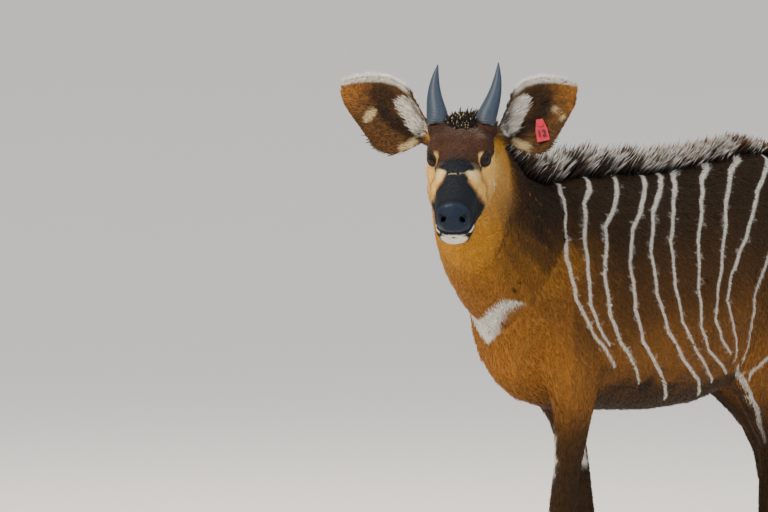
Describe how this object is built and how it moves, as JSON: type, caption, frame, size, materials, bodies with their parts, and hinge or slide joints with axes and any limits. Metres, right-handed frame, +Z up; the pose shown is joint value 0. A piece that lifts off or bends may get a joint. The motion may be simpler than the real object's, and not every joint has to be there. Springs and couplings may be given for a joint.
{
  "type": "bongo antelope life-size museum model",
  "caption": "Young bongo antelope standing with its head turned, striped chestnut coat, short horns and a plain ear tag, as a still life-size model.",
  "frame": {"origin": "centre of the footprint of the model's box, on the floor under the hooves", "axes": "+Z up, the animal faces -X and its left side is towards -Y"},
  "size_m": [1.4042, 0.4432, 1.2426],
  "materials": {
    "coat": "short chestnut hair with narrow white stripes",
    "dark_coat": "long dark brown hair",
    "face": "very short hair, dark muzzle and white marks",
    "horn": "blue-grey keratin with fine ridges",
    "hoof": "dark keratin",
    "eye": "wet and glossy",
    "tag": "moulded red plastic"
  },
  "bodies": {
    "root": {"head": "face", "neck": "coat", "torso": "coat", "tail": "dark_coat", "foreleg_left": "coat", "hindleg_left": "coat", "ear_left": "coat", "eye_left": "eye", "horn_left": "horn", "hoof_fore_left_inner": "hoof", "hoof_fore_left_outer": "hoof", "hoof_hind_left_inner": "hoof", "hoof_hind_left_outer": "hoof", "foreleg_right": "coat", "hindleg_right": "coat", "ear_right": "coat", "eye_right": "eye", "horn_right": "horn", "hoof_fore_right_inner": "hoof", "hoof_fore_right_outer": "hoof", "hoof_hind_right_inner": "hoof", "hoof_hind_right_outer": "hoof", "tag_panel": "tag", "tag_stud": "tag"}
  },
  "joints": []
}
